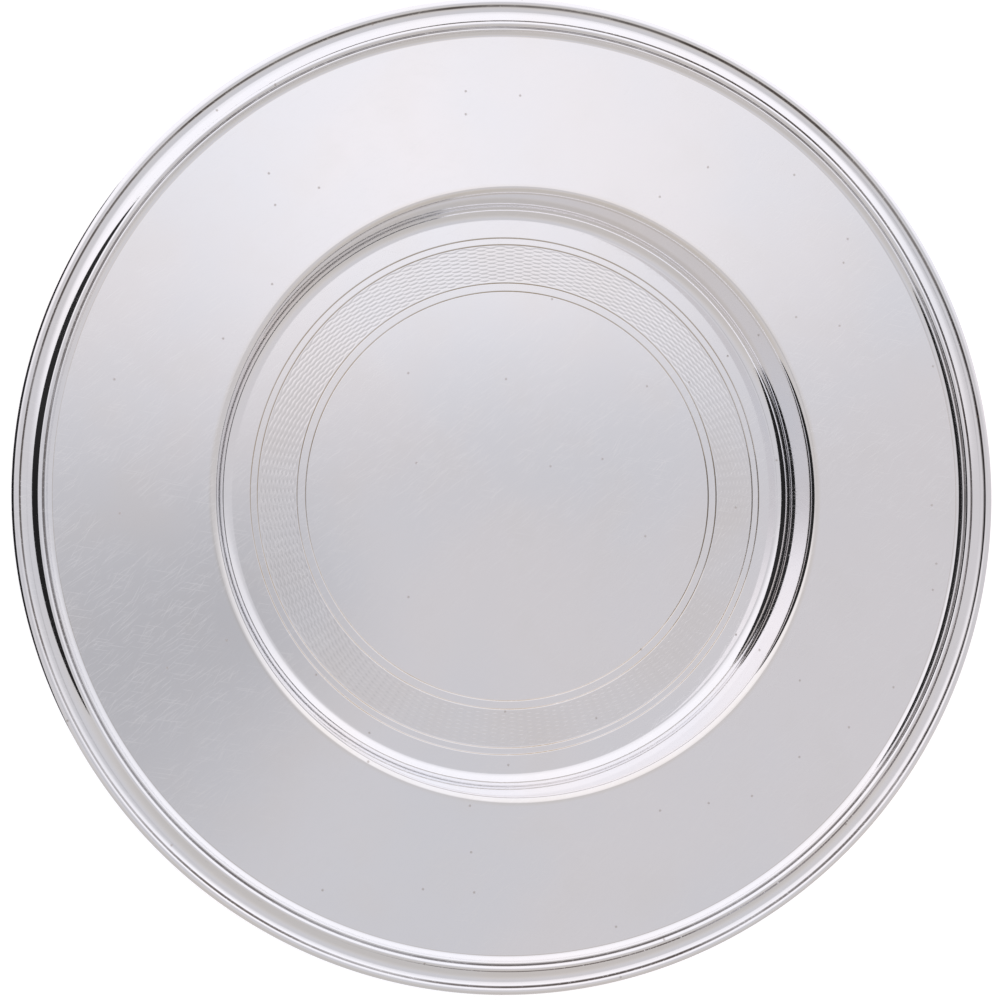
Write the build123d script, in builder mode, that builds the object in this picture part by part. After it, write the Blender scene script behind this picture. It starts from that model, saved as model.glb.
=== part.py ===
"""Offering plate: a shallow silver-plated dish with a steep well, a wide rim and a reeded border.

Frame: +Z up, origin on the plate's axis at the underside of the floor, millimetres.
Every sub-part is a solid of revolution about Z, drawn as a section on the XZ plane.
"""

from build123d import *
from math import cos, radians, sin, sqrt
import os

# Sheet and well
sheet = 1.0                # thickness of the spun sheet
floor_radius = 73.2        # where the flat floor ends
well_depth = 18.0          # floor surface up to the inner edge of the rim
wall_angle = 87.5          # slope of the well's wall
floor_fillet = 3.3         # hollow corner between floor and wall
lip_roll = 1.8             # rounded edge between wall and rim

# Rim: nearly flat, dished up a little towards the border
rim_start_angle = 0.1
rim_dish_radius = 950.0
rim_outer_radius = 124.6   # edge of the sheet, where the edge wire is soldered

# Engraved lines that frame the engine-turned band on the floor
engraved_radii = (54.3, 56.5, 66.7, 68.5)
engraved_width = 0.42
engraved_depth = 0.14

# Reeded border moulding, soldered on top of the rim. Heights are above the rim below each point.
border_inner_radius = 117.1
cove_start_angle = 8.0     # slope of the hollow inner face at the rim
cove_radius = 1.7
cove_turn = 52.0           # how far the cove turns up
bead_width = 0.65          # small bead along the top of the cove
bead_rise = 0.3
groove_width = 0.3         # between the bead and the reed
groove_height = 0.85
reed_width = 1.3
reed_height = 1.5
reed_end_height = 1.3
hollow_height = 0.4        # lowest part of the hollow between the reed and the edge wire
hollow_end_height = 0.75

# Edge wire: D section, flat side against the sheet and the border
edge_wire_radius = 1.5 
edge_wire_lift = 0.15      # its centre above the rim's surface at the sheet's edge
plate_radius = 127.0

# Worked out from the dimensions above
slope = radians(wall_angle)
start_slope = radians(rim_start_angle)
cove_start = radians(cove_start_angle)
wall_length = (
    well_depth
    - floor_fillet * (1 - cos(slope))
    - lip_roll * (cos(start_slope) - cos(slope))
) / sin(slope)
rim_inner_radius = (
    floor_radius
    + floor_fillet * sin(slope)
    + wall_length * cos(slope)
    + lip_roll * (sin(slope) - sin(start_slope))
)
dish_centre = (
    rim_inner_radius - rim_dish_radius * sin(start_slope),
    sheet + well_depth + rim_dish_radius * cos(start_slope),
)


def rim_height(radius):
    """Height of the rim's upper surface at a distance from the axis."""
    across = radius - dish_centre[0]
    return dish_centre[1] - sqrt(rim_dish_radius**2 - across**2)


def rim_point(radius, above=0.0):
    """Point of the section at a radius, some way above the rim's surface."""
    return (radius, rim_height(radius) + above)


os.makedirs("parts", exist_ok=True)

# Plate body: floor, well wall and rim, spun from one sheet
with BuildPart() as plate_body:
    with BuildSketch(Plane.XZ):
        with BuildLine():
            floor = Line((0, sheet), (floor_radius, sheet))
            corner = JernArc(floor @ 1, floor % 1, floor_fillet, wall_angle)
            wall = Line(corner @ 1, corner @ 1 + (corner % 1) * wall_length)
            roll = JernArc(wall @ 1, wall % 1, lip_roll, rim_start_angle - wall_angle)
            rim_middle = rim_point((rim_inner_radius + rim_outer_radius) / 2)
            rim = ThreePointArc(roll @ 1, rim_middle, rim_point(rim_outer_radius))
            offset(amount=sheet, side=Side.RIGHT)
        make_face()
        # The edge of the sheet is trimmed upright, to take the flat of the edge wire
        with Locations((rim_outer_radius, 0)):
            Rectangle(2 * sheet, plate_radius, align=(Align.MIN, Align.MIN), mode=Mode.SUBTRACT)
    revolve(axis=Axis.Z)
    with BuildSketch(Plane.XZ):
        for radius in engraved_radii:
            with Locations((radius, sheet)):
                Polygon(
                    (-engraved_width / 2, 0),
                    (0, -engraved_depth),
                    (engraved_width / 2, 0),
                    align=None,
                )
    revolve(axis=Axis.Z, mode=Mode.SUBTRACT)
plate_body.part.label = "plate_body"
export_step(plate_body.part, "parts/plate_body.step")

# Border moulding: hollow inner face, small bead, reed and outer hollow
with BuildPart() as border_moulding:
    with BuildSketch(Plane.XZ):
        with BuildLine():
            cove = JernArc(
                rim_point(border_inner_radius),
                (cos(cove_start), sin(cove_start)),
                cove_radius,
                cove_turn,
            )
            groove_start = (cove @ 1).X + bead_width
            reed_start = groove_start + groove_width
            reed_end = reed_start + reed_width
            bead = ThreePointArc(
                cove @ 1,
                cove @ 1 + Vector(bead_width / 2, bead_rise),
                rim_point(groove_start, groove_height),
            )
            groove = Line(bead @ 1, rim_point(reed_start, groove_height))
            reed = ThreePointArc(
                groove @ 1,
                rim_point((reed_start + reed_end) / 2, reed_height),
                rim_point(reed_end, reed_end_height),
            )
            hollow = ThreePointArc(
                reed @ 1,
                rim_point((reed_end + rim_outer_radius) / 2, hollow_height),
                rim_point(rim_outer_radius, hollow_end_height),
            )
            edge = Line(hollow @ 1, rim_point(rim_outer_radius))
            seat_middle = rim_point((border_inner_radius + rim_outer_radius) / 2)
            seat = ThreePointArc(edge @ 1, seat_middle, cove @ 0)
        make_face()
    revolve(axis=Axis.Z)
border_moulding.part.label = "border_moulding"
export_step(border_moulding.part, "parts/border_moulding.step")

# Edge wire: closes the edge of the sheet and the outer side of the border
wire_centre = (plate_radius - edge_wire_radius, rim_height(rim_outer_radius) + edge_wire_lift)
half_flat = sqrt(edge_wire_radius**2 - (wire_centre[0] - rim_outer_radius) ** 2)
with BuildPart() as edge_wire:
    with BuildSketch(Plane.XZ):
        with BuildLine():
            bulge = ThreePointArc(
                (rim_outer_radius, wire_centre[1] - half_flat),
                (plate_radius, wire_centre[1]),
                (rim_outer_radius, wire_centre[1] + half_flat),
            )
            Line(bulge @ 1, bulge @ 0)
        make_face()
    revolve(axis=Axis.Z)
edge_wire.part.label = "edge_wire"
export_step(edge_wire.part, "parts/edge_wire.step")
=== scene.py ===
"""Offering plate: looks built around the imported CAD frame. Metres, +Z up, plate axis on Z."""

import math

import bpy
import numpy as np
from mathutils import Matrix, Vector


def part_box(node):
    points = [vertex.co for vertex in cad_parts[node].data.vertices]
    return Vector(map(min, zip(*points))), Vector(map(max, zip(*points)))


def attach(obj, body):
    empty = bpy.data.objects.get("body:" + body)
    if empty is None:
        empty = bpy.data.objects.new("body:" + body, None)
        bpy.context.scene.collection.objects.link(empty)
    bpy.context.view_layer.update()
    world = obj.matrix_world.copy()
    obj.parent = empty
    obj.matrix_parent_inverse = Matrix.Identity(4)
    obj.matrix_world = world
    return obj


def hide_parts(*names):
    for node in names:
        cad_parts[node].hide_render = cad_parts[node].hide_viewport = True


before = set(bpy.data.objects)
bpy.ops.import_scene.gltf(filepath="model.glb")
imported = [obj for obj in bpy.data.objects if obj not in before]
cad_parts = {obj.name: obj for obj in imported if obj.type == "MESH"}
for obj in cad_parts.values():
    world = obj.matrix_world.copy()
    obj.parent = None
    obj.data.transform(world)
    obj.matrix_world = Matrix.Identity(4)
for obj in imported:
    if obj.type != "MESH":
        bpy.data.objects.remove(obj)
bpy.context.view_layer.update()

MM = 0.001

# Places read from the CAD frame
BODY_LOW, BODY_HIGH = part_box("plate_body")
WIRE_LOW, WIRE_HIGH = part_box("edge_wire")
PLATE_RADIUS = WIRE_HIGH.x
SHEET_RADIUS = BODY_HIGH.x
REST_Z = BODY_LOW.z

# Sheet and well, as in the CAD part
SHEET = 1.0 * MM
FLOOR_Z = REST_Z + SHEET
FLOOR_RADIUS = 73.2 * MM
WELL_DEPTH = 18.0 * MM
WALL_ANGLE = math.radians(87.5)
FLOOR_FILLET = 3.3 * MM
LIP_ROLL = 1.8 * MM
RIM_START_ANGLE = math.radians(0.1)
RIM_DISH_RADIUS = 950.0 * MM

# Engraving on the floor
LINE_RADII = (54.3 * MM, 56.5 * MM, 66.7 * MM, 68.5 * MM)
LINE_WIDTH = 0.4 * MM
LINE_DEPTH = 0.11 * MM
BAND_INNER = 56.8 * MM
BAND_OUTER = 66.4 * MM
BAND_RINGS = 18
BAND_PITCH = 0.509 * MM
BAND_FIRST = 57.25 * MM
BAND_WAVES = 80
BAND_SWING = 0.47 * BAND_PITCH
CUT_DEPTH = 0.042 * MM
CUT_HALF_WIDTH = 0.2 * MM

# Border moulding section, heights above the rim
BORDER_INNER = 117.1 * MM
COVE_START = math.radians(8.0)
COVE_RADIUS = 1.7 * MM
COVE_TURN = math.radians(52.0)
BEAD_WIDTH = 0.65 * MM
BEAD_RISE = 0.3 * MM
GROOVE_WIDTH = 0.3 * MM
GROOVE_HEIGHT = 0.85 * MM
REED_WIDTH = 1.3 * MM
REED_HEIGHT = 1.5 * MM
REED_END_HEIGHT = 1.3 * MM
HOLLOW_HEIGHT = 0.4 * MM
HOLLOW_END_HEIGHT = 0.75 * MM

# Silver: colours and surface marks
SILVER = 0.925          # share of light that polished silver returns
BLUISH = (0.905, 0.912, 0.935, 1)
PINKISH = (0.945, 0.925, 0.928, 1)
FILM = (0.90, 0.885, 0.875, 1)
FRESH = (0.99, 0.985, 0.98, 1)
SPECK = (0.42, 0.37, 0.33, 1)
ROUGHNESS = 0.04

# Silver: patchy marks, as noise scale per metre, detail, and the noise where a patch starts and is full
CLOUDS = (14.0, 3.0, 0.36, 0.66)        # about 7 cm across
DULL_PATCHES = (55.0, 5.0, 0.45, 0.75)
# patches that make the tarnish and the painted groove shade stronger in some stretches
TARNISH_AND_SHADE_PATCHES = (30.0, 5.0, 0.34, 0.64)
TARNISH_AND_SHADE_LEAST = 0.55                    # share of the tarnish and of the painted groove shade that stays between its patches
WIPED_PATCHES = (45.0, 1.0, 0.30, 0.46)
RIPPLE_SCALE = 24.0
RIPPLE_DETAIL = 2.0
RIPPLE_HEIGHT = 0.030 * MM

# Silver: hairlines and specks
HAIRLINE_DIRECTIONS = 6
HAIRLINE_LENGTH = 9 * MM
HAIRLINE_WIDTH = 0.15 * MM
HAIRLINE_DEPTH = 0.0013 * MM
HAIRLINE_EDGE = (0.75, 0.79)            # noise where a hairline starts and is full
SPECK_CELLS = 80.0                      # along a metre
SPECK_SHARE = 0.2                       # of the cells that hold a speck
SPECK_EDGE = (0.034, 0.014)             # from a cell's middle, where a speck starts and is full

# Silver: how far each mark tints it, and what it adds to its roughness
FILM_TINT = 0.35
FILM_ROUGHNESS = 0.025
HAIRLINE_TINT = 0.5
HAIRLINE_ROUGHNESS = 0.08
SPECK_TINT = 0.55
SPECK_ROUGHNESS = 0.3

# Tarnish: colours, a near-black painted shade for the border's deep grooves, and two of the rings they keep
# to
BROWN = (0.50, 0.41, 0.29, 1)
CREAM = (0.72, 0.62, 0.44, 1)
# painted shade: near-black colour laid into the border's deep grooves, where shade falls
PAINTED_GROOVE_SHADE = (0.16, 0.14, 0.13, 1)
LIP_RADIUS = 78.4 * MM          # on the rounded edge of the well
BORDER_GROOVE = 119.13 * MM     # between the bead and the reed

# How finely round things are cut
SEGMENTS = 320
BAND_SEGMENTS = 3 * SEGMENTS
BORDER_SEGMENTS = 480
BAND_ROWS = 60
RIM_POINTS = 14
FLOOR_RINGS = (4 * MM, 20 * MM, 40 * MM)
UNDER_RING = 30 * MM
UNDER_STEP = 3                  # the plain underside keeps one ring in three
NEAR = 0.05 * MM                # a ring this close to a bend keeps the flat beside it flat in shading
SUNK = 0.05 * MM                # depth of the border's seat below the rim's surface
TOE_REACH = 0.02 * MM           # how far the seat reaches inside the border's toe
SHARP = math.radians(42)        # edges that turn by more than this stay sharp

# Studio light: the 0 to 255 levels that the silver shows where it mirrors each part
WALLS = 203.5
SOFT_BOX = 242
SOFT_BOX_BODY = 251
CEILING = 180
FRONT = 190
COOL = (0.990, 0.972, 1.014, 1)
WARM = (1.03, 0.98, 0.955, 1)

# Studio light: where its parts lie, by x, y or slant of a direction, each from its start to where it is full
SOFT_BOX_Y = (0.02, 0.205)
SOFT_BOX_X = (0.10, 0.36)               # fades towards the right
SOFT_BOX_RIGHT = 0.62                   # share of it left there
BODY_SLANT = (0.26, 0.55)               # sine of the angle from straight up
BODY_RIGHT = (math.radians(14), math.radians(38))
BODY_LEFT = (math.radians(152), math.radians(138))
CEILING_MIDDLE = (0.01, -0.05)
CEILING_RADIUS = 0.125
FRONT_Y = (-0.25, -0.75)
WARM_Y = (-0.1, -0.6)
PANEL_HEADING = math.radians(-7)        # 0 is straight to the left
PANEL_HALF_WIDTH = math.radians(38)
PANEL_TOP = math.radians(52)            # above the horizon
PANEL_EDGE = (1.04, 0.95)               # of its half width or height
PANEL_LOWEST = -0.02                    # z of a direction
PANEL_DARKNESS = 0.975

# Table
TABLE_HALF = 3.0                        # half its side, in metres
TABLE_COLOUR = (0.7, 0.7, 0.7, 1)
TABLE_GLOW = 0.62

# Camera: its place from the middle of the well's floor, along its own axes
CAMERA_DISTANCE = 477.244 * MM
CAMERA_ASIDE = (-2.89 * MM, -1.18 * MM)
CAMERA_TIP = math.radians(-1.3)
CAMERA_SWING = math.radians(10.2)
LENS = 1.8                              # focal length over the sensor's width


# ---------------------------------------------------------------- profiles

def arc(centre, radius, start, end, steps):
    """Points of a round stretch of a section; angles in radians, from +r towards +z."""
    angles = np.linspace(start, end, steps + 1)
    return [(centre[0] + radius * math.cos(a), centre[1] + radius * math.sin(a)) for a in angles]


def through(start, middle, end, steps):
    """Points of the circular arc through three points of a section."""
    (x1, y1), (x2, y2), (x3, y3) = start, middle, end
    d = 2 * (x1 * (y2 - y3) + x2 * (y3 - y1) + x3 * (y1 - y2))
    s1, s2, s3 = x1 * x1 + y1 * y1, x2 * x2 + y2 * y2, x3 * x3 + y3 * y3
    centre = (
        (s1 * (y2 - y3) + s2 * (y3 - y1) + s3 * (y1 - y2)) / d,
        (s1 * (x3 - x2) + s2 * (x1 - x3) + s3 * (x2 - x1)) / d,
    )
    radius = math.hypot(x1 - centre[0], y1 - centre[1])
    first = math.atan2(y1 - centre[1], x1 - centre[0])
    sweep = [
        (math.atan2(y - centre[1], x - centre[0]) - first + math.pi) % (2 * math.pi) - math.pi
        for x, y in (middle, end)
    ]
    if sweep[0] * sweep[1] < 0 or abs(sweep[1]) < abs(sweep[0]):
        sweep[1] -= math.copysign(2 * math.pi, sweep[1])
    return arc(centre, radius, first, first + sweep[1], steps)


def well_and_rim():
    """Upper surface of the sheet from the end of the flat floor to the sheet's edge."""
    rise = WELL_DEPTH - FLOOR_FILLET * (1 - math.cos(WALL_ANGLE))
    rise -= LIP_ROLL * (math.cos(RIM_START_ANGLE) - math.cos(WALL_ANGLE))
    length = rise / math.sin(WALL_ANGLE)
    corner = arc(
        (FLOOR_RADIUS, FLOOR_Z + FLOOR_FILLET), FLOOR_FILLET, -math.pi / 2, WALL_ANGLE - math.pi / 2, 24
    )
    r, z = corner[-1]
    wall = [
        (r + length * t * math.cos(WALL_ANGLE), z + length * t * math.sin(WALL_ANGLE))
        for t in (0.02, 0.35, 0.65, 0.98, 1.0)
    ]
    r, z = wall[-1]
    roll_centre = (r + LIP_ROLL * math.sin(WALL_ANGLE), z - LIP_ROLL * math.cos(WALL_ANGLE))
    roll = arc(roll_centre, LIP_ROLL, WALL_ANGLE + math.pi / 2, RIM_START_ANGLE + math.pi / 2, 18)[1:]
    r, z = roll[-1]
    dish = (r - RIM_DISH_RADIUS * math.sin(RIM_START_ANGLE), z + RIM_DISH_RADIUS * math.cos(RIM_START_ANGLE))
    radii = (r + NEAR, *np.linspace(r, SHEET_RADIUS, RIM_POINTS)[1:])
    rim = [(x, dish[1] - math.sqrt(RIM_DISH_RADIUS**2 - (x - dish[0]) ** 2)) for x in radii]
    return corner + wall + roll + rim


def rim_height(radius):
    """Height of the rim's upper surface at a distance from the axis."""
    points = well_and_rim()[-RIM_POINTS:]
    return float(np.interp(radius, [p[0] for p in points], [p[1] for p in points]))


def under_side(points):
    """The sheet's lower surface below those points of its upper one, listed from the edge inwards."""
    p = np.array(points)
    along = np.gradient(p, axis=0)
    along /= np.linalg.norm(along, axis=1)[:, None]
    lower = p + np.stack([along[:, 1], -along[:, 0]], axis=1) * SHEET
    lower[-1, 0] = p[-1, 0]
    return [tuple(q) for q in lower[::-1]]


def engraved_line(radius):
    """Section of one engraved line: a narrow furrow with rounded shoulders."""
    shares = (-1.2, *np.linspace(-1, 1, 7), 1.2)
    return [
        (radius + s * LINE_WIDTH / 2, FLOOR_Z - LINE_DEPTH * (0.5 + 0.5 * math.cos(math.pi * min(1, abs(s)))))
        for s in shares
    ]


def border_section():
    """Closed section of the border: hollow inner face, bead, reed and outer hollow, seated on the rim."""
    def above(radius, height=0.0):
        return (radius, rim_height(radius) + height)

    toe = above(BORDER_INNER)
    cove_centre = (toe[0] - COVE_RADIUS * math.sin(COVE_START), toe[1] + COVE_RADIUS * math.cos(COVE_START))
    cove = arc(cove_centre, COVE_RADIUS, COVE_START - math.pi / 2, COVE_START + COVE_TURN - math.pi / 2, 16)
    bead_start = cove[-1]
    groove_start = bead_start[0] + BEAD_WIDTH
    reed_start = groove_start + GROOVE_WIDTH
    reed_end = reed_start + REED_WIDTH
    bead_top = (bead_start[0] + BEAD_WIDTH / 2, bead_start[1] + BEAD_RISE)
    bead = through(bead_start, bead_top, above(groove_start, GROOVE_HEIGHT), 12)[1:]
    reed = through(
        above(reed_start, GROOVE_HEIGHT),
        above((reed_start + reed_end) / 2, REED_HEIGHT),
        above(reed_end, REED_END_HEIGHT),
        16,
    )
    hollow = through(
        reed[-1],
        above((reed_end + SHEET_RADIUS) / 2, HOLLOW_HEIGHT),
        above(SHEET_RADIUS, HOLLOW_END_HEIGHT),
        24,
    )[1:]
    seat = [above(SHEET_RADIUS, -SUNK), above((SHEET_RADIUS + BORDER_INNER) / 2, -SUNK)]
    seat_start = (toe[0] - TOE_REACH, toe[1] - SUNK)
    return [seat_start] + cove + bead + reed + hollow + seat


def wire_section():
    """Closed section of the edge wire: a circle cut by the flat that meets the sheet."""
    radius = (WIRE_HIGH.z - WIRE_LOW.z) / 2
    centre = (PLATE_RADIUS - radius, (WIRE_HIGH.z + WIRE_LOW.z) / 2)
    flat_angle = math.acos((SHEET_RADIUS - centre[0]) / radius)
    return arc(centre, radius, -flat_angle, flat_angle, 36)


# ---------------------------------------------------------------- meshes

def ring(radius, height, count):
    """One ring of points; height is a number, or one for each point."""
    turn = np.arange(count) * 2 * math.pi / count
    z = np.full(count, 0.0) + height
    return np.stack([radius * np.cos(turn), radius * np.sin(turn), z], axis=1)


def join_rings(a, a_count, b, b_count):
    """Faces between two rings, given by their first index; a finer ring is a whole multiple of the other."""
    if a_count == b_count:
        return [(a + i, a + (i + 1) % a_count, b + (i + 1) % b_count, b + i) for i in range(a_count)]
    if a_count > b_count:
        return [face[::-1] for face in join_rings(b, b_count, a, a_count)]
    times = b_count // a_count
    faces = []
    for i in range(a_count):
        fine = [b + (i * times + k) % b_count for k in range(times + 1)]
        faces.append((a + i, a + (i + 1) % a_count, *fine[::-1]))
    return faces


def spun(name, rings, closed=False, centre=None):
    """A body of revolution from its rings. closed joins the last ring to the first; centre gives the
    heights at the axis that close the first and the last ring."""
    points = np.concatenate(rings)
    starts = np.cumsum([0] + [len(r) for r in rings])
    faces = []
    for k in range(len(rings) - 1):
        faces += join_rings(starts[k], len(rings[k]), starts[k + 1], len(rings[k + 1]))
    if closed:
        faces += join_rings(starts[-2], len(rings[-1]), starts[0], len(rings[0]))
    if centre:
        points = np.concatenate([points, [(0, 0, centre[0]), (0, 0, centre[1])]])
        n = len(rings[0])
        faces += [(starts[-1], (i + 1) % n, i) for i in range(n)]
        last, n = starts[-2], len(rings[-1])
        faces += [(starts[-1] + 1, last + i, last + (i + 1) % n) for i in range(n)]
    mesh = bpy.data.meshes.new(name)
    mesh.from_pydata(points.tolist(), [], [tuple(int(v) for v in f) for f in faces])
    mesh.validate()
    mesh.shade_smooth()
    mesh.set_sharp_from_angle(angle=SHARP)
    piece = bpy.data.objects.new(name, mesh)
    bpy.context.scene.collection.objects.link(piece)
    return piece


def face_outwards(piece):
    """Turns the mesh's faces so that it encloses a positive volume."""
    mesh = piece.data
    corners = np.empty(len(mesh.vertices) * 3)
    mesh.vertices.foreach_get("co", corners)
    corners = corners.reshape(-1, 3)
    mesh.calc_loop_triangles()
    triangles = np.empty(len(mesh.loop_triangles) * 3, int)
    mesh.loop_triangles.foreach_get("vertices", triangles)
    a, b, c = (corners[triangles.reshape(-1, 3)[:, k]] for k in range(3))
    if np.einsum("ij,ij->i", a, np.cross(b, c)).sum() < 0:
        mesh.flip_normals()


def turned_depth(radius):
    """Depth of the engine-turned cut along one ring of the mesh: V-cuts along wavy rings, each half a
    wave on from its neighbour, so that the strips left between them are rows of barley corns."""
    turn = np.arange(BAND_SEGMENTS) * 2 * math.pi / BAND_SEGMENTS
    nearest = np.full(BAND_SEGMENTS, 1.0)
    for k in range(BAND_RINGS):
        cut = BAND_FIRST + k * BAND_PITCH + BAND_SWING * np.cos(BAND_WAVES * turn + k * math.pi)
        nearest = np.minimum(nearest, np.abs(radius - cut))
    return CUT_DEPTH * np.clip(1 - nearest / CUT_HALF_WIDTH, 0, 1)


def plate_body():
    """The spun sheet, with its engraved lines and engine-turned band cut into the floor."""
    rings = [ring(r, FLOOR_Z, SEGMENTS) for r in FLOOR_RINGS]
    for radius in LINE_RADII[:2]:
        rings += [ring(r, z, SEGMENTS) for r, z in engraved_line(radius)]
    for radius in np.linspace(BAND_INNER, BAND_OUTER, BAND_ROWS):
        rings.append(ring(radius, FLOOR_Z - turned_depth(radius), BAND_SEGMENTS))
    for radius in LINE_RADII[2:]:
        rings += [ring(r, z, SEGMENTS) for r, z in engraved_line(radius)]
    upper = [(FLOOR_RADIUS - NEAR, FLOOR_Z)] + well_and_rim()
    rings += [ring(r, z, SEGMENTS) for r, z in upper]
    lower = under_side(upper)
    rings += [ring(r, z, SEGMENTS) for r, z in lower[:-1:UNDER_STEP] + lower[-1:]]
    rings.append(ring(UNDER_RING, REST_Z, SEGMENTS))
    return spun("plate_sheet", rings, centre=(FLOOR_Z, REST_Z))


def moulding(name, section):
    """A ring of the border, spun from its closed section."""
    return spun(name, [ring(r, z, BORDER_SEGMENTS) for r, z in section], closed=True)


# ---------------------------------------------------------------- materials

class Nodes:
    """Short ways to add nodes to one tree."""

    def __init__(self, tree):
        self.tree = tree
        tree.nodes.clear()

    def add(self, kind, **inputs):
        """A node, with its inputs by name; _ stands for a space in a name."""
        node = self.tree.nodes.new(kind)
        for name, value in inputs.items():
            self.feed(node, name.replace("_", " "), value)
        return node

    def feed(self, node, which, value):
        """Links a node's input to value, or sets it. which is its name or number."""
        socket = node.inputs[which]
        if isinstance(value, bpy.types.NodeSocket):
            self.tree.links.new(value, socket)
        else:
            socket.default_value = value

    def math(self, operation, a, b=0.0, clamp=False):
        node = self.tree.nodes.new("ShaderNodeMath")
        node.operation = operation
        node.use_clamp = clamp
        self.feed(node, 0, a)
        self.feed(node, 1, b)
        return node.outputs[0]

    def times(self, *factors):
        """Product of values."""
        product = factors[0]
        for factor in factors[1:]:
            product = self.math("MULTIPLY", product, factor)
        return product

    def length(self, x, y):
        """Length of the vector (x, y)."""
        squares = self.math("ADD", self.math("MULTIPLY", x, x), self.math("MULTIPLY", y, y))
        return self.math("SQRT", squares)

    def smooth(self, value, low, high, to_low=0.0, to_high=1.0):
        """Smooth step from to_low to to_high as value goes from low to high."""
        node = self.add("ShaderNodeMapRange", Value=value)
        node.interpolation_type = "SMOOTHSTEP"
        node.inputs["From Min"].default_value = low
        node.inputs["From Max"].default_value = high
        node.inputs["To Min"].default_value = to_low
        node.inputs["To Max"].default_value = to_high
        return node.outputs[0]

    def mix(self, share, a, b):
        """Colour between a and b."""
        node = self.tree.nodes.new("ShaderNodeMix")
        node.data_type = "RGBA"
        for index, value in ((0, share), (6, a), (7, b)):
            self.feed(node, index, value)
        return node.outputs[2]


def streaks(nodes, place, angle):
    """Short hairlines, all along one direction: 1 on a line, 0 elsewhere."""
    mapping = nodes.add("ShaderNodeMapping", Vector=place, Rotation=(0, 0, angle))
    mapping.vector_type = "TEXTURE"
    nodes.feed(mapping, "Location", (0.73 * angle, 0.31 * angle, 0))
    nodes.feed(mapping, "Scale", (HAIRLINE_LENGTH, HAIRLINE_WIDTH, 1.0))
    noise = nodes.add("ShaderNodeTexNoise", Vector=mapping.outputs[0], Scale=1.0, Detail=0.0)
    return nodes.smooth(noise.outputs[0], *HAIRLINE_EDGE)


def silver(name, crevices):
    """Polished silver plate with faint clouding, hairlines, specks, tarnish kept in the crevices, and painted
    shade in the deep grooves.
    crevices lists the rings where tarnish stays or where shade is painted: radius, half width of the full and
    of the faded part, the height it stays above, strength and colour."""
    random = np.random.default_rng(len(name))
    material = bpy.data.materials.new(name)
    material.use_nodes = True
    nodes = Nodes(material.node_tree)
    place = nodes.add("ShaderNodeTexCoord").outputs["Object"]
    x, y, z = nodes.add("ShaderNodeSeparateXYZ", Vector=place).outputs
    radius = nodes.length(x, y)

    def noise(scale, detail):
        return nodes.add("ShaderNodeTexNoise", Vector=place, Scale=scale, Detail=detail).outputs[0]

    def patches(scale, detail, start, full, least=0.0):
        return nodes.smooth(noise(scale, detail), start, full, least)

    # cloudy tint, under a patchy dull film
    colour = nodes.mix(patches(*CLOUDS), BLUISH, PINKISH)
    film = patches(*DULL_PATCHES)
    colour = nodes.mix(nodes.times(film, FILM_TINT), colour, FILM)

    # tarnish in the crevices, and painted shade in the deep grooves, stronger in some stretches than in
    # others
    stretches = patches(*TARNISH_AND_SHADE_PATCHES, TARNISH_AND_SHADE_LEAST)
    # each row mixes in its colour: brown or cream tarnish, or the near-black painted shade of a deep groove
    for middle, full, faded, lowest, strength, tarnish_and_shade_colour in crevices:
        off = nodes.math("ABSOLUTE", nodes.math("SUBTRACT", radius, middle))
        near = nodes.smooth(off, faded, full)
        high = nodes.math("GREATER_THAN", z, lowest)
        colour = nodes.mix(nodes.times(near, high, stretches, strength), colour, tarnish_and_shade_colour)

    # hairlines from wiping, in several directions, only in some patches
    lines = 0.0
    for angle in random.uniform(0, math.pi, HAIRLINE_DIRECTIONS):
        lines = nodes.math("ADD", lines, streaks(nodes, place, float(angle)), clamp=True)
    lines = nodes.times(lines, patches(*WIPED_PATCHES))
    colour = nodes.mix(nodes.times(lines, HAIRLINE_TINT), colour, FRESH)

    # small dark specks, in some of the cells of a pattern
    cells = nodes.tree.nodes.new("ShaderNodeTexVoronoi")
    cells.voronoi_dimensions = "2D"
    nodes.feed(cells, "Vector", place)
    nodes.feed(cells, "Scale", SPECK_CELLS)
    draw = nodes.add("ShaderNodeSeparateColor", Color=cells.outputs["Color"]).outputs[0]
    chosen = nodes.math("GREATER_THAN", draw, 1 - SPECK_SHARE)
    speck = nodes.times(nodes.smooth(cells.outputs["Distance"], *SPECK_EDGE), chosen)
    colour = nodes.mix(nodes.times(speck, SPECK_TINT), colour, SPECK)

    # polish: a little duller under the film, on hairlines and on specks
    polish = ROUGHNESS
    for mark, duller in ((film, FILM_ROUGHNESS), (lines, HAIRLINE_ROUGHNESS), (speck, SPECK_ROUGHNESS)):
        polish = nodes.math("ADD", polish, nodes.times(mark, duller))

    # surface: faint ripple of the spun sheet, and the hairlines cut into it
    ripple = nodes.times(noise(RIPPLE_SCALE, RIPPLE_DETAIL), RIPPLE_HEIGHT)
    relief = nodes.math("SUBTRACT", ripple, nodes.times(lines, HAIRLINE_DEPTH))
    bump = nodes.add("ShaderNodeBump", Height=relief, Strength=1.0, Distance=1.0)
    shader = nodes.add("ShaderNodeBsdfPrincipled", Base_Color=colour, Roughness=polish, Metallic=1.0)
    nodes.feed(shader, "Normal", bump.outputs[0])
    nodes.add("ShaderNodeOutputMaterial", Surface=shader.outputs[0])
    return material


# ---------------------------------------------------------------- studio

def grey(level):
    """Linear light that a display shows as that 0 to 255 level."""
    share = level / 255
    return share / 12.92 if share < 0.04 else ((share + 0.055) / 1.055) ** 2.4


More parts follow.
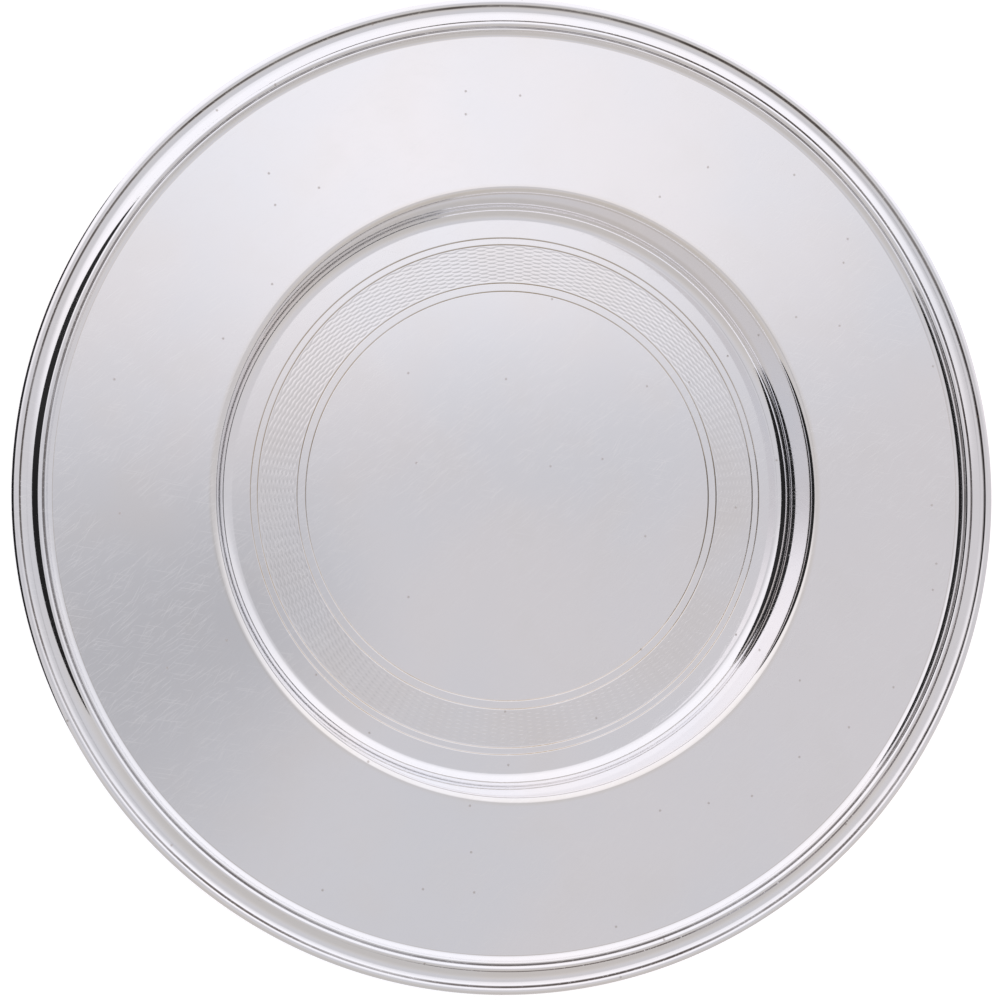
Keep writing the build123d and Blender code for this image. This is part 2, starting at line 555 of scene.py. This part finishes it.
def studio_sky():
    """Soft studio light all round: pale walls, a large soft box behind the plate, a dark panel on the
    left and a dim ceiling. The camera itself sees a plain pale backdrop."""
    world = bpy.data.worlds.new("studio")
    bpy.context.scene.world = world
    world.use_nodes = True
    nodes = Nodes(world.node_tree)
    where = nodes.add("ShaderNodeTexCoord").outputs["Generated"]
    x, y, z = nodes.add("ShaderNodeSeparateXYZ", Vector=where).outputs
    turn = nodes.math("ARCTAN2", y, x)
    slant = nodes.length(x, y)

    def lamp(share, light):
        """Adds a share of some light to the level so far."""
        return nodes.math("ADD", level, nodes.times(share, light))

    walls = grey(WALLS)
    level = walls / SILVER
    # soft box on the far side, wide and brightening outwards
    reach = nodes.smooth(y, *SOFT_BOX_Y)
    fade = nodes.smooth(x, *SOFT_BOX_X, 1.0, SOFT_BOX_RIGHT)
    level = lamp(nodes.times(reach, fade), (grey(SOFT_BOX) - walls) / SILVER)
    # its bright body, lower down
    low = nodes.smooth(slant, *BODY_SLANT)
    right_end = nodes.smooth(turn, *BODY_RIGHT)
    left_end = nodes.smooth(turn, *BODY_LEFT)
    missing = nodes.math("SUBTRACT", grey(SOFT_BOX_BODY) / SILVER, level)
    level = lamp(nodes.times(low, right_end, left_end), missing)
    # dim ceiling just off the zenith
    dx, dy = (nodes.math("SUBTRACT", side, middle) for side, middle in zip((x, y), CEILING_MIDDLE))
    away = nodes.length(dx, dy)
    level = nodes.times(level, nodes.smooth(away, 0.0, CEILING_RADIUS, grey(CEILING) / walls, 1.0))
    # room in front of the plate, a little darker
    level = nodes.times(level, nodes.smooth(y, *FRONT_Y, 1.0, grey(FRONT) / walls))
    # dark panel on the left, tapering to both ends
    heading = nodes.math("ARCTAN2", nodes.times(y, -1.0), nodes.times(x, -1.0))
    along = nodes.math("DIVIDE", nodes.math("SUBTRACT", heading, PANEL_HEADING), PANEL_HALF_WIDTH)
    upward = nodes.math("DIVIDE", nodes.math("ARCSINE", z), PANEL_TOP)
    span = nodes.math("ADD", nodes.times(along, along), nodes.times(upward, upward))
    panel = nodes.times(nodes.smooth(span, *PANEL_EDGE), nodes.math("GREATER_THAN", z, PANEL_LOWEST))
    level = nodes.times(level, nodes.math("SUBTRACT", 1.0, nodes.times(panel, PANEL_DARKNESS)))

    # cool light from the far side, warm from the near side
    tint = nodes.mix(nodes.smooth(y, *WARM_Y), COOL, WARM)
    studio = nodes.add("ShaderNodeBackground", Color=tint, Strength=level)
    backdrop = nodes.add("ShaderNodeBackground", Color=(1, 1, 1, 1))
    seen = nodes.add("ShaderNodeLightPath").outputs["Is Camera Ray"]
    mixed = nodes.add("ShaderNodeMixShader", Fac=seen)
    nodes.feed(mixed, 1, studio.outputs[0])
    nodes.feed(mixed, 2, backdrop.outputs[0])
    nodes.add("ShaderNodeOutputWorld", Surface=mixed.outputs[0])


def studio_floor():
    """Plain white table, far larger than the plate, bright enough to show as white."""
    mesh = bpy.data.meshes.new("studio_floor")
    corners = [(x * TABLE_HALF, y * TABLE_HALF, REST_Z) for x, y in ((-1, -1), (1, -1), (1, 1), (-1, 1))]
    mesh.from_pydata(corners, [], [(0, 1, 2, 3)])
    floor = bpy.data.objects.new("studio_floor", mesh)
    bpy.context.scene.collection.objects.link(floor)
    material = bpy.data.materials.new("studio_floor")
    material.use_nodes = True
    nodes = Nodes(material.node_tree)
    matt = nodes.add("ShaderNodeBsdfDiffuse", Color=TABLE_COLOUR)
    glow = nodes.add("ShaderNodeEmission", Strength=TABLE_GLOW)
    both = nodes.add("ShaderNodeAddShader")
    nodes.feed(both, 0, matt.outputs[0])
    nodes.feed(both, 1, glow.outputs[0])
    nodes.add("ShaderNodeOutputMaterial", Surface=both.outputs[0])
    mesh.materials.append(material)


def camera():
    """Camera high over the plate, a little in front and to the left of it."""
    turn = Matrix.Rotation(CAMERA_SWING, 3, "Y") @ Matrix.Rotation(CAMERA_TIP, 3, "X")
    data = bpy.data.cameras.new("camera")
    data.lens = LENS * data.sensor_width
    data.clip_start = 0.01
    data.clip_end = 50.0
    eye = turn.transposed() @ Vector((*CAMERA_ASIDE, CAMERA_DISTANCE))
    holder = bpy.data.objects.new("camera", data)
    holder.matrix_world = Matrix.Translation(eye + Vector((0, 0, FLOOR_Z))) @ turn.transposed().to_4x4()
    bpy.context.scene.collection.objects.link(holder)
    bpy.context.scene.camera = holder


# ---------------------------------------------------------------- the plate

camera()
studio_sky()
studio_floor()
bpy.context.scene.view_settings.view_transform = "Standard"

sheet = plate_body()
border = moulding("border_moulding_skin", border_section())
wire = moulding("edge_wire_skin", wire_section())

# Where tarnish stays, and where shade is painted into the deep grooves: rows as silver() describes them
BAND_MIDDLE = (BAND_INNER + BAND_OUTER) / 2
BAND_HALF = (BAND_OUTER - BAND_INNER) / 2
ON_FLOOR = REST_Z + 0.8 * SHEET
ON_LIP = FLOOR_Z + WELL_DEPTH - 0.8 * SHEET
ON_RIM = rim_height(BORDER_INNER) - 0.5 * SHEET
plate_crevices = [(radius, 0.05 * MM, 0.2 * MM, ON_FLOOR, 0.95, BROWN) for radius in LINE_RADII]
plate_crevices += [
    (BAND_MIDDLE, BAND_HALF - 0.2 * MM, BAND_HALF, ON_FLOOR, 0.13, BROWN),
    (LIP_RADIUS, 0.3 * MM, 1.4 * MM, ON_LIP, 0.22, CREAM),
    (BORDER_INNER, 0.05 * MM, 0.25 * MM, ON_RIM, 0.4, BROWN),
]
# painted shade: near-black colour in the groove between bead and reed, and in the groove where border and
# wire meet
border_painted_shade = [
    (BORDER_GROOVE, 0.1 * MM, 0.26 * MM, ON_RIM, 0.9, PAINTED_GROOVE_SHADE),
    (SHEET_RADIUS, 0.12 * MM, 0.34 * MM, ON_RIM, 1.0, PAINTED_GROOVE_SHADE),
]
# painted shade: near-black colour in the groove where the wire meets the border
wire_painted_shade = [(SHEET_RADIUS, 0.1 * MM, 0.22 * MM, ON_RIM, 1.0, PAINTED_GROOVE_SHADE)]

for piece, node, slot, crevices in (
    (sheet, "plate_body", "silver_plate", plate_crevices),
    (border, "border_moulding", "silver_border", border_painted_shade),
    (wire, "edge_wire", "silver_wire", wire_painted_shade),
):
    face_outwards(piece)
    piece.data.materials.append(silver(slot, crevices))
    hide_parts(node)
    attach(piece, "root")
